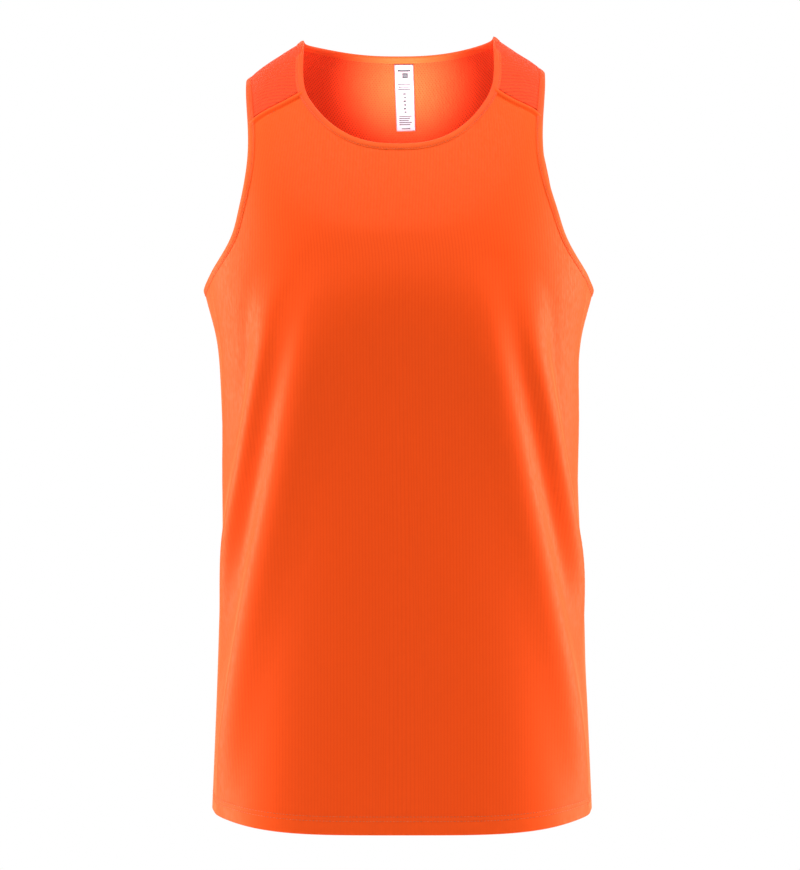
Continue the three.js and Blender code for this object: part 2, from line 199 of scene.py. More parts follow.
def smoothstep(value: Array, low: float, high: float) -> Array:
    """0 below low, 1 above high and an even S between: 3t squared less 2t cubed."""
    share = np.clip((value - low) / (high - low), 0, 1)
    return share * share * (3 - 2 * share)


def travelled(path: Array) -> Array:
    """Distance along a path of points to each of them."""
    return np.concatenate([[0], np.cumsum(np.linalg.norm(np.diff(path, axis=0), axis=-1))])


def grid(*parts: Array) -> Array:
    """Points of a grid from rows and columns of parts, with the parts along the last axis."""
    return np.stack(np.broadcast_arrays(*parts), -1)


class NaturalSpline:
    """Smooth curve through given places: one cubic in each span, unbent at both ends."""

    def __init__(self, places: Array, values: Array) -> None:
        """Solves for the bend at each place.

        Args:
            places: Rising places, one for each row of values.
            values: Values at the places, one column for each curve.
        """
        span = np.diff(places)
        slope = np.diff(values, axis=0) / span[:, None]
        system = np.diag(2 * (span[:-1] + span[1:]))
        system += np.diag(span[1:-1], 1) + np.diag(span[1:-1], -1)
        self.places, self.values = places, values
        self.bend = np.zeros(values.shape)
        self.bend[1:-1] = np.linalg.solve(system, 6 * np.diff(slope, axis=0))

    def __call__(self, at: Array) -> Array:
        """Each curve's value.

        Args:
            at: Places to read, in any shape.

        Returns:
            Values with the curves along the last axis.
        """
        left = np.clip(np.searchsorted(self.places, at) - 1, 0, len(self.places) - 2)
        span = (self.places[left + 1] - self.places[left])[..., None]
        gone = (at - self.places[left])[..., None]
        rest = span - gone
        cubic = (self.bend[left] * rest**3 + self.bend[left + 1] * gone**3) / (6 * span)
        low = (self.values[left] / span - self.bend[left] * span / 6) * rest
        high = (self.values[left + 1] / span - self.bend[left + 1] * span / 6) * gone
        return cubic + low + high


@dataclass
class Cloth:
    """The singlet's one surface, from which every piece is cut."""

    folds: Sequence[Fold] = FOLDS
    rings: NaturalSpline = field(default_factory=lambda: NaturalSpline(RING_RISES, RINGS))
    hang: NaturalSpline = field(default_factory=lambda: NaturalSpline(HANG_RISES, HANG))

    def smooth(self, angle: Array, rise: Array) -> Array:
        """Point of the form without folds.

        Width is half times the sine of the angle to a power, depth is the ring's depth times
        the cosine to a power, and height falls from the side towards front or back with
        another power of the cosine.

        Args:
            angle: Degrees round the body.
            rise: Millimetres up the side.

        Returns:
            Points, with x, y and z along the last axis.
        """
        angle, rise = np.broadcast_arrays(np.asarray(angle, float), np.asarray(rise, float))
        ring = dict(zip(RING_COLUMNS, np.moveaxis(self.rings(rise), -1, 0)))
        sway, lift = np.moveaxis(self.hang(rise), -1, 0)
        sine, cosine = np.sin(np.radians(angle)), np.cos(np.radians(angle))
        front = cosine > 0
        across, level, side = np.abs(sine), np.abs(cosine), np.sign(sine)
        brim = np.where(front, np.maximum(ring["brim"], 0), 0)
        along = level + brim * np.sqrt(level) * (1 - level) ** 3
        depth = np.where(front, -ring["front_depth"], ring["back_depth"])
        fall = np.where(
            front,
            (ring["front_z"] - ring["side_z"]) * along ** ring["dip"],
            (ring["back_z"] - ring["side_z"]) * along**BACK_DIP,
        )
        return np.stack([
            side * ring["half"] * across ** ring["wide"] + sway,
            depth * along ** ring["round"],
            ring["side_z"] + fall + side * lift * across**LIFT_POWER,
        ], axis=-1)

    def directions(self, angle: Array, rise: Array) -> tuple[Array, Array, Array]:
        """Steps over the smooth form: per degree round, per millimetre of rise, and outwards."""
        turn = self.smooth(angle + 0.5, rise) - self.smooth(angle - 0.5, rise)
        up = (self.smooth(angle, rise + 1) - self.smooth(angle, rise - 1)) / 2
        out = np.cross(turn, up)
        return turn, up, out / np.linalg.norm(out, axis=-1, keepdims=True)

    def push(self, angle: Array, z: Array) -> Array:
        """How far the folds push the cloth out.

        Each fold is a bell over the angle from its crest, wider on one side than the other,
        times a share that grows in below its top and dies away above its bottom.

        Args:
            angle: Degrees round the body.
            z: Heights.

        Returns:
            Millimetres outwards.
        """
        total = np.zeros(np.broadcast(angle, z).shape)
        for fold in self.folds:
            sign = 1 if fold.angle > 0 else -1
            to_side = sign if abs(fold.angle) < 90 else -sign
            away = angle - fold.angle - to_side * fold.slant * (FOLD_LEVEL - z)
            away = ((away + 180) % 360 - 180) * to_side
            width = np.where(away > 0, fold.outer, fold.inner)
            strength = smoothstep(z, fold.bottom, fold.bottom + FOLD_DIE)
            strength = strength * (1 - smoothstep(z, fold.top - FOLD_GROW, fold.top))
            total += fold.out * strength * np.exp(-((away / width) ** 2))
        return total

    def point(self, angle: Array, rise: Array, offset: Places = 0.0) -> Array:
        """Point of the cloth, moved outwards by offset from its middle layer."""
        base = self.smooth(angle, rise)
        _, _, out = self.directions(angle, rise)
        lift = self.push(angle, base[..., 2]) + offset
        return base + out * lift[..., None]

    def normal(self, angle: Array, rise: Array) -> Array:
        """Outward direction of the folded cloth."""
        turn = self.point(angle + 0.5, rise) - self.point(angle - 0.5, rise)
        up = self.point(angle, rise + 1) - self.point(angle, rise - 1)
        out = np.cross(turn, up)
        return out / np.linalg.norm(out, axis=-1, keepdims=True)

    def step(self, angle: Array, rise: Array, way: Array) -> tuple[Array, Array]:
        """Change of angle and rise that best follows a short way in space.

        Args:
            angle: Degrees round the body.
            rise: Millimetres up the side.
            way: Ways in space, in millimetres.

        Returns:
            The change of angle and the change of rise.
        """
        turn, up, _ = self.directions(angle, rise)
        tt, tu, uu = (turn * turn).sum(-1), (turn * up).sum(-1), (up * up).sum(-1)
        wt, wu = (way * turn).sum(-1), (way * up).sum(-1)
        det = tt * uu - tu * tu
        return (wt * uu - wu * tu) / det, (wu * tt - wt * tu) / det

    def neck_rise(self, angle: Places, width: float) -> Array:
        """Rise of the place that lies width below the neck opening's edge."""
        _, up, _ = self.directions(angle, np.full(np.shape(angle), NECK_RISE))
        return NECK_RISE - width / np.linalg.norm(up, axis=-1)

    def girth_map(self, angle: Array, rise: Array) -> Array:
        """Level distance over the smooth form from the nearer centre line, in metres.

        The distance is summed along each of a stack of rings and read back between them.

        Args:
            angle: Degrees round the body.
            rise: Millimetres up the side.

        Returns:
            Distances in metres.
        """
        angles = np.linspace(0, 180, 241)
        rises = np.linspace(-4, NECK_RISE + 4, 121)
        rings = self.smooth(angles[None, :], rises[:, None])[..., :2]
        lengths = np.cumsum(np.linalg.norm(np.diff(rings, axis=1), axis=-1), axis=1)
        lengths = np.concatenate([np.zeros((len(rises), 1)), lengths], axis=1)
        row = np.clip((rise - rises[0]) / (rises[1] - rises[0]), 0, len(rises) - 1.001)
        column = np.clip(np.abs(angle) / (angles[1] - angles[0]), 0, len(angles) - 1.001)
        i, j = row.astype(int), column.astype(int)
        a, b = row - i, column - j
        low = lengths[i, j] * (1 - b) + lengths[i, j + 1] * b
        high = lengths[i + 1, j] * (1 - b) + lengths[i + 1, j + 1] * b
        return (low * (1 - a) + high * a) * METRE


@dataclass
class Armhole:
    """The cut edge of one armhole.

    turn runs from 0 at the underarm, up the front, over the shoulder at 180 and down the back.
    """

    cloth: Cloth
    side: Side

    def edge(self, turn: Array) -> tuple[Array, Array]:
        """Angle and rise on the oval: powers of the sine and cosine of the turn.

        Args:
            turn: Degrees round the oval, from 0 at the underarm.

        Returns:
            Angles and rises.
        """
        sine, cosine = np.sin(np.radians(turn)), np.cos(np.radians(turn))
        power = np.where(cosine < 0, 2 / ARMHOLE_POWER_ABOVE, 2 / ARMHOLE_POWER_BELOW)
        reach = np.where(sine > 0, -ARMHOLE_FRONT_REACH, ARMHOLE_BACK_REACH)
        height = np.where(cosine < 0, ARMHOLE_ABOVE, -ARMHOLE_BELOW)
        angle = self.side.value * (90 + reach * np.abs(sine) ** power)
        return angle, ARMHOLE_MIDDLE + height * np.abs(cosine) ** power

    def inset(self, turn: Array, width: Places) -> tuple[Array, Array]:
        """Angle and rise of places that lie width away from the hole.

        Args:
            turn: Degrees round the oval.
            width: Distance from the edge.

        Returns:
            Angles and rises.
        """
        angle, rise = self.edge(turn)
        before, after = self.edge(turn - 0.5), self.edge(turn + 0.5)
        along = self.cloth.smooth(*after) - self.cloth.smooth(*before)
        _, _, out = self.cloth.directions(angle, rise)
        away = np.cross(along, out)
        away *= -self.side.value / np.linalg.norm(away, axis=-1, keepdims=True)
        d_angle, d_rise = self.cloth.step(angle, rise, away)
        return angle + d_angle * width, rise + d_rise * width

    def even_turns(self, start: float, stop: float, steps: int) -> Array:
        """Turns from start to stop that lie evenly far apart along the edge.

        Args:
            start: First turn.
            stop: Last turn.
            steps: Number of equal steps.

        Returns:
            The turns, one more than the steps.
        """
        fine = np.linspace(start, stop, 721)
        lengths = travelled(self.cloth.smooth(*self.edge(fine)))
        return np.interp(np.linspace(0, lengths[-1], steps + 1), lengths, fine)

    def shoulder(self, width: float, share: Array) -> tuple[Array, Array]:
        """Angle and rise along the shoulder seam.

        Args:
            width: Distance of its ends from the armhole and from the neck opening.
            share: How far along it, from 0 at the armhole to 1 at the neck.

        Returns:
            Angles and rises.
        """
        arm_angle, arm_rise = self.inset(np.array(SEAM_TURN), width)
        neck_angle = self.side.value * SEAM_NECK_ANGLE
        neck_rise = self.cloth.neck_rise(neck_angle, width)
        angle = arm_angle + (neck_angle - arm_angle) * share
        return angle, arm_rise + (neck_rise - arm_rise) * share


# --- meshes ---------------------------------------------------------------------------------


@dataclass
class Patch:
    """A grid of points with a place on the cloth's pattern for each."""

    points: Array
    pattern: Array
    flipped: bool = False


def two_faced(
    layer: Callable[[Places], Array], middle: Places, half: Array, pattern: Array
) -> list[Patch]:
    """Two grids, half above and half below the middle of a sheet.

    Args:
        layer: Points of the sheet at an offset.
        middle: Offset of the sheet's middle.
        half: Half the thickness, nothing along its edges.
        pattern: The pattern's places.

    Returns:
        The outer and the inner face.
    """
    outer = Patch(layer(middle + half), pattern)
    return [outer, Patch(layer(middle - half), pattern, flipped=True)]


def make_object(name: str, patches: Sequence[Patch], weld: float = 0.002) -> bpy.types.Object:
    """Turns grids of points in millimetres into one smooth mesh object.

    Points of different grids that lie within weld of each other become one, so grids that share
    an edge close up there. The faces are turned outwards by the sign of the enclosed volume.

    Args:
        name: Name of the object.
        patches: The grids.
        weld: Distance within which points are merged, in millimetres.

    Returns:
        The object, at the origin.
    """
    points, pattern, faces, start = [], [], [], 0
    for patch in patches:
        rows, columns = patch.points.shape[:2]
        index = np.arange(rows * columns).reshape(rows, columns) + start
        quads = np.stack([index[:-1, :-1], index[:-1, 1:], index[1:, 1:], index[1:, :-1]], -1)
        quads = quads.reshape(-1, 4)
        faces.append(quads[:, ::-1] if patch.flipped else quads)
        points.append(patch.points.reshape(-1, 3))
        pattern.append(patch.pattern.reshape(-1, 2))
        start += rows * columns
    corners = np.concatenate(faces).tolist()
    return mesh_object(name, np.concatenate(points), corners, np.concatenate(pattern), weld)


def link(name: str, data: bpy.types.ID) -> bpy.types.Object:
    """Puts a new object into the scene, at the origin."""
    item = bpy.data.objects.new(name, data)
    bpy.context.scene.collection.objects.link(item)
    return item


def mesh_object(
    name: str, points: Array, faces: list, pattern: Optional[Array] = None, weld: float = 0.0
) -> bpy.types.Object:
    """Makes a smooth mesh object from points in millimetres, faces and pattern places.

    Args:
        name: Name of the object.
        points: One row for each point.
        faces: Corner indices of each face.
        pattern: One row of pattern coordinates in metres for each point, if any.
        weld: Distance within which points are merged, in millimetres, or 0.

    Returns:
        The object, at the origin.
    """
    mesh = bpy.data.meshes.new(name)
    mesh.from_pydata((points * METRE).tolist(), [], faces)
    if pattern is not None:
        corners = np.zeros(len(mesh.loops), int)
        mesh.loops.foreach_get("vertex_index", corners)
        layer = mesh.uv_layers.new(name="pattern")
        layer.data.foreach_set("uv", pattern[corners].astype(np.float32).ravel())
    draft = bmesh.new()
    draft.from_mesh(mesh)
    if weld:
        bmesh.ops.remove_doubles(draft, verts=draft.verts, dist=weld * METRE)
        bmesh.ops.dissolve_degenerate(draft, edges=draft.edges, dist=1e-7)
    if draft.calc_volume(signed=True) < 0:
        bmesh.ops.reverse_faces(draft, faces=draft.faces)
    draft.to_mesh(mesh)
    draft.free()
    mesh.polygons.foreach_set("use_smooth", np.ones(len(mesh.polygons), bool))
    mesh.update()
    return link(name, mesh)


def dress(
    piece: bpy.types.Object, material: bpy.types.Material, node: str = ""
) -> None:
    """Gives a piece its material and body, and hides the CAD node that it stands for.

    Args:
        piece: The piece.
        material: Its material.
        node: Name of the CAD node that it replaces, if any.
    """
    piece.data.materials.append(material)
    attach(piece, BODY)
    if node:
        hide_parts(node)
    LOG.info("%s: %d faces", piece.name, len(piece.data.polygons))


def edge_distance(points: Array) -> tuple[Array, Array]:
    """Distance over a grid of points to its nearer side edge and to its nearer end row.

    Args:
        points: Grid of points, rows first.

    Returns:
        The two distances over the grid.
    """

    def nearer(axis: int) -> Array:
        """Summed steps along the axis, read from whichever end is nearer."""
        steps = np.linalg.norm(np.diff(points, axis=axis), axis=-1)
        pad = np.zeros_like(steps.take([0], axis))
        gone = np.concatenate([pad, np.cumsum(steps, axis)], axis)
        return np.minimum(gone, gone.take([-1], axis) - gone)

    return nearer(1), nearer(0)


def rounded(distance: Array, radius: float) -> Array:
    """Share of the full thickness near a rounded edge: a quarter circle over radius."""
    return np.sqrt(1 - (1 - np.clip(distance / radius, 0, 1)) ** 2)


# --- materials ------------------------------------------------------------------------------


class Shader:
    """Short-hand for laying out the nodes of one material."""

    def __init__(self, name: str) -> None:
        """Starts a material with a surface shader and the pattern map's two directions."""
        self.material = bpy.data.materials.new(name)
        self.material.use_nodes = True
        self.tree = self.material.node_tree
        self.surface = self.tree.nodes["Principled BSDF"]
        pattern = self.split(self.add("ShaderNodeUVMap", uv_map="pattern").outputs[0])
        self.across, self.up = pattern[0], pattern[1]

    def add(self, kind: str, **settings: object) -> bpy.types.Node:
        """Adds a node and sets its properties."""
        node = self.tree.nodes.new(kind)
        for key, value in settings.items():
            setattr(node, key, value)
        return node

    def feed(self, socket: Socket, value: object) -> None:
        """Links a socket to another one, or sets it to a constant."""
        if isinstance(value, bpy.types.NodeSocket):
            self.tree.links.new(value, socket)
        else:
            socket.default_value = value

    def apply(self, node: bpy.types.Node, *values: object) -> Socket:
        """Feeds a node's first sockets and returns its result."""
        for socket, value in zip(node.inputs, values):
            self.feed(socket, value)
        return node.outputs[0]

    def split(self, vector: Socket) -> bpy.types.NodeOutputs:
        """The three parts of a vector."""
        node = self.add("ShaderNodeSeparateXYZ")
        self.feed(node.inputs[0], vector)
        return node.outputs

    def math(self, operation: str, *values: Value) -> Socket:
        """Adds a Math node and returns its result."""
        return self.apply(self.add("ShaderNodeMath", operation=operation), *values)

    def ramp(
        self, value: Value, low: float, high: float, start: float = 0.0, stop: float = 1.0
    ) -> Socket:
        """Maps low..high to start..stop in an even S.

        Args:
            value: What is mapped.
            low: Value mapped to start.
            high: Value mapped to stop.
            start: Result at low.
            stop: Result at high.

        Returns:
            The result.
        """
        node = self.add("ShaderNodeMapRange", interpolation_type="SMOOTHSTEP")
        return self.apply(node, value, low, high, start, stop)

    def wave(self, place: Value, pitch: float, shift: Value = 0.0) -> Socket:
        """Cosine of place over pitch, from -1 to 1."""
        return self.math("COSINE", self.math("MULTIPLY_ADD", place, 2 * np.pi / pitch, shift))

    def ridges(self, place: Value, pitch: float) -> Socket:
        """Rounded ridges a pitch apart: the sine of place over pitch, without its sign."""
        turn = self.math("MULTIPLY", place, np.pi / pitch)
        return self.math("ABSOLUTE", self.math("SINE", turn))

    def noise(
        self, scale: float, detail: float, stretch: tuple[float, float, float] = (1, 1, 1)
    ) -> Socket:
        """Noise from about 0 to 1 over the object, with scale in cells for each metre.

        Args:
            scale: Cells for each metre.
            detail: Octaves.
            stretch: Scale along each axis.

        Returns:
            The noise.
        """
        mapping = self.add("ShaderNodeMapping")
        self.feed(mapping.inputs["Vector"], self.add("ShaderNodeTexCoord").outputs["Object"])
        self.feed(mapping.inputs["Scale"], Vector(stretch))
        node = self.add("ShaderNodeTexNoise")
        self.feed(node.inputs["Vector"], mapping.outputs[0])
        self.feed(node.inputs["Scale"], scale)
        self.feed(node.inputs["Detail"], detail)
        return node.outputs["Fac"]

    def spread(self, noise: Socket, start: float, stop: float) -> Socket:
        """Noise, of which the middle part is spread over start..stop."""
        return self.ramp(noise, *NOISE_MIDDLE, start, stop)

    def blend(self, share: Value, first: object, second: object) -> Socket:
        """Mixes two colours.

        Args:
            share: Share of the second colour.
            first: First colour.
            second: Second colour.

        Returns:
            The mixed colour.
        """
        node = self.add("ShaderNodeMix", data_type="RGBA")
        self.feed(node.inputs["Factor"], share)
        self.feed(node.inputs[6], first)
        self.feed(node.inputs[7], second)
        return node.outputs[2]

    def relief(self, height: Socket, depth: float) -> None:
        """Bumps the surface by height times depth in metres.

        Args:
            height: Height from 0 to 1.
            depth: Metres for a height of 1.
        """
        node = self.add("ShaderNodeBump")
        self.feed(node.inputs["Strength"], 1.0)
        self.feed(node.inputs["Distance"], depth)
        self.feed(node.inputs["Height"], height)
        self.feed(self.surface.inputs["Normal"], node.outputs[0])

    def coat(self, colour: object, rough: Value, **others: object) -> None:
        """Puts on a colour, a roughness and other values, with _ for a space in their names."""
        self.feed(self.surface.inputs["Base Color"], colour)
        self.feed(self.surface.inputs["Roughness"], rough)
        for name, value in others.items():
            self.feed(self.surface.inputs[name.replace("_", " ")], value)


NOISE_MIDDLE = (0.3, 0.7)  # between these lies nearly all of the noise
SHINE = (1.0, 0.62, 0.28, 1.0)  # orange tint of the light that glances off the dyed yarn


@dataclass(frozen=True)
class Finish:
    """A named finish with the display colour of its face."""

    name: str
    face: Colour

    def make(self) -> bpy.types.Material:
        """Builds the material."""
        shade = Shader(self.name)
        self.paint(shade)
        return shade.material

    def paint(self, shade: Shader) -> None:
        """Lays out the finish's own nodes."""
        raise NotImplementedError


@dataclass(frozen=True)
class Knit(Finish):
    """Fine ribbed knit of the front: rounded ribs, each crossed by small courses."""

    # colour of the hollows between ribs and courses: painted shade, also used for random tone
    groove: Colour
    hem: Colour
    rib: float = 0.0028
    course: float = 0.0013
    depth: float = 0.00004

    def paint(self, shade: Shader) -> None:
        """Ribs times courses make the relief, and the hem takes its own colour."""
        stagger = shade.math("MULTIPLY", shade.wave(shade.across, 2 * self.rib), 1.6)
        courses = shade.ramp(shade.wave(shade.up, self.course, stagger), -1, 1, 0.78, 1.0)
        height = shade.math("MULTIPLY", shade.ridges(shade.across, self.rib), courses)
        # Painted shade: the colour darkens towards the groove colour where ribs and courses dip.
        groove, face = linear(*self.groove), linear(*self.face)
        colour = shade.blend(shade.ramp(height, 0.05, 0.8), groove, face)
        hem_edge = ((HEM_DEPTH - 0.4) * METRE, (HEM_DEPTH + 0.2) * METRE)
        in_hem = shade.ramp(shade.up, *hem_edge, 0.6, 0.0)
        colour = shade.blend(in_hem, colour, linear(*self.hem))
        # Soft clouds of the same darker colour give a tone that differs at random.
        colour = shade.blend(shade.spread(shade.noise(9, 3), 0.0, 0.12), colour, groove)
        shade.relief(height, self.depth)
        shade.coat(
            colour, shade.spread(shade.noise(700, 1, (1, 1, 0.25)), 0.5, 0.66),
            Specular_IOR_Level=0.45, Specular_Tint=SHINE,
            Sheen_Weight=0.4, Sheen_Roughness=0.3, Sheen_Tint=SHINE,
        )


@dataclass(frozen=True)
class EyeletMesh(Finish):
    """Eyelet mesh of the back and the yokes: staggered small holes between fine columns."""

    # colour of the holes: painted shade of the hollow inside seen through them, also used for
    # random tone
    hole: Colour
    column: float = 0.0026
    row: float = 0.0036
    depth: float = 0.0003

    def paint(self, shade: Shader) -> None:
        """Holes lie where a wave across and a wave up agree, between raised strands."""
        columns, rows = shade.wave(shade.across, self.column), shade.wave(shade.up, self.row)
        holes = shade.ramp(shade.math("MULTIPLY", columns, rows), 0.3, 0.8)
        strands = shade.math("MULTIPLY", shade.ridges(shade.across, self.column / 2), 0.35)
        # Painted shade: the holes take a dark colour for the shaded inside seen through them.
        hole, face = linear(*self.hole), linear(*self.face)
        colour = shade.blend(holes, face, hole)
        # Soft clouds of the hole colour give a tone that differs at random.
        colour = shade.blend(shade.spread(shade.noise(11, 3), 0.0, 0.12), colour, hole)
        shade.relief(shade.math("SUBTRACT", strands, holes), self.depth)
        shade.coat(
            colour, shade.spread(shade.noise(800, 1), 0.54, 0.7),
            Specular_IOR_Level=0.45, Specular_Tint=SHINE,
        )


@dataclass(frozen=True)
class Trim(Finish):
    """Soft folded binding, with fine loops along it."""

    # colour of the hollows between the loops: painted shade, also used for random tone
    groove: Colour
    yoke: Colour  # colour where it runs over the shoulders
    yoke_edge: tuple[float, float] = (-0.09, -0.07)  # heights between which it changes
    loop: float = 0.0011

    def paint(self, shade: Shader) -> None:
        """Two crossing waves make the loops, and the shoulders take the yokes' colour."""
        lines = shade.wave(shade.up, self.loop)
        slip = shade.math("MULTIPLY", lines, 1.2)
        loops = shade.wave(shade.across, self.loop * 1.3, slip)
        height = shade.ramp(shade.math("ADD", lines, loops), -2, 2)
        # Painted shade: the colour darkens towards the groove colour where the loops dip.
        groove, face = linear(*self.groove), linear(*self.face)
        colour = shade.blend(shade.ramp(height, 0.1, 0.7), groove, face)
        level = shade.split(shade.add("ShaderNodeTexCoord").outputs["Object"])[2]
        on_yoke = shade.ramp(level, *self.yoke_edge, 0, 0.7)
        colour = shade.blend(on_yoke, colour, linear(*self.yoke))
        # Soft clouds of the groove colour give a tone that differs at random.
        colour = shade.blend(shade.spread(shade.noise(60, 2), 0.0, 0.15), colour, groove)
        shade.relief(height, 0.00012)
        shade.coat(
            colour, shade.spread(shade.noise(900, 1), 0.5, 0.64),
            Specular_IOR_Level=0.5, Specular_Tint=SHINE,
        )


@dataclass(frozen=True)
class Thread(Finish):
    """Twisted sewing thread."""

    def paint(self, shade: Shader) -> None:
        """One noise gives the twist its gloss, its relief and a colour of painted shade in its
        hollows.
        """
        twist = shade.noise(1500, 2)
        # Painted shade: the thread darkens where the twist's relief is low.
        twist_shade = linear(*(0.72 * value for value in self.face))
        colour = shade.blend(shade.ramp(twist, 0.35, 0.65), twist_shade, linear(*self.face))
        shade.relief(twist, 0.0001)
        shade.coat(colour, shade.spread(twist, 0.4, 0.6), Specular_IOR_Level=0.5)


@dataclass(frozen=True)
class Tape(Finish):
    """Woven satin tape of the care label."""

    # colour where the weave dips: painted shade
    weave_shade: Colour

    def paint(self, shade: Shader) -> None:
        """Warp and weft are two crossing waves."""
        warp = shade.wave(shade.across, 0.0005)
        weft = shade.wave(shade.up, 0.0007, shade.math("MULTIPLY", warp, 1.5))
        height = shade.ramp(shade.math("ADD", warp, weft), -2, 2)
        # Painted shade: the colour darkens towards the weave's colour where warp and weft dip.
        share = shade.ramp(height, 0.1, 0.8)
        colour = shade.blend(share, linear(*self.weave_shade), linear(*self.face))
        shade.relief(height, 0.00004)
        shade.coat(
            colour, shade.spread(shade.noise(600, 1), 0.4, 0.55),
            Specular_IOR_Level=0.5, Sheen_Weight=0.1,
        )


@dataclass(frozen=True)
class Ink(Finish):
    """Grey print on the label."""

    def paint(self, shade: Shader) -> None:
        """Worn spots are paler and rougher."""
        worn = shade.ramp(shade.noise(2500, 2), 0.35, 0.7)
        pale = linear(*(value + 0.25 * (255 - value) for value in self.face))
        colour = shade.blend(worn, linear(*self.face), pale)
        shade.coat(colour, shade.ramp(worn, 0, 1, 0.6, 0.8))


# The knit's second colour is painted shade for the hollows between its ribs.
FRONT_KNIT = Knit("front_knit", (254, 79, 14), (249, 73, 12), (255, 84, 20))
# The mesh's second colour is painted shade for its holes.
BACK_MESH = EyeletMesh("back_mesh", (249, 66, 28), (204, 42, 16))
# The binding's second colour is painted shade for the hollows between its loops.
BINDING = Trim("binding", (254, 94, 30), (236, 72, 18), (246, 72, 32))
THREAD = Thread("thread", (254, 118, 56))
DARK_THREAD = Thread("dark_thread", (240, 78, 26))
# Painted shade: the white satin tape is given a dim grey-pink, for the shade inside the neck and
# the red light of the cloth round it.
SHADED_LABEL_TAPE = Tape("label_tape", (176, 152, 162), (160, 138, 148))
LABEL_INK = Ink("label_ink", (36, 34, 42))


# --- pieces ---------------------------------------------------------------------------------


class Half(Enum):
    """The two panels, by the angle of their centre line."""

    FRONT = 0
    BACK = 180


EVEN_ANGLES = np.linspace(0, 180, 3601)


def even_lengths() -> Array:
    """Distance over a typical level ring of the upper body at each of EVEN_ANGLES.

    The ring is x = 110 sin^0.8 and y = 90 cos^0.64, whose flat ends a plain count of degrees
    would cross in one long step.
    """
    sine, cosine = np.sin(np.radians(EVEN_ANGLES)), np.cos(np.radians(EVEN_ANGLES))
    x, y = 110 * np.abs(sine) ** 0.8, 90 * np.sign(cosine) * np.abs(cosine) ** 0.64
    return travelled(np.stack([x, y], -1))


EVEN_LENGTHS = even_lengths()


def even_girth(angle: Places) -> Array:
    """Distance round the typical ring at an angle."""
    return np.interp(angle, EVEN_ANGLES, EVEN_LENGTHS)


def even_angle(girth: Array) -> Array:
    """Angle at a distance round the typical ring."""
    return np.interp(girth, EVEN_LENGTHS, EVEN_ANGLES)


@dataclass(frozen=True)
class Swell:
    """A rise of the cloth beside a line, or a dip where out is less than 0."""

    out: float
    width: float

    def height(self, away: Array) -> Array:
        """Bell: out times e to the minus square of the distance over the width."""
        return self.out * np.exp(-((away / self.width) ** 2))


SEAM_DIP = Swell(-0.3, 1.6)  # at every side edge of the panels
HEM_STITCH_DIP = Swell(-0.22, 0.8)
WELT = Swell(1.1, 2.0)  # turned edge along the front of the shoulder seams
WELT_GROOVE = Swell(-0.8, 1.1)  # stitched groove below it
WELT_PLACE = 3.2  # distances of the two from the shoulder seam
SHOULDER_STITCH_PLACE = 6.8
HEM_STITCH_RISES = (11.0, 14.6)
HEM_ROWS = np.concatenate([[0, 0.08, 0.25, 0.5], np.arange(0.9, 19.0, 0.65)])


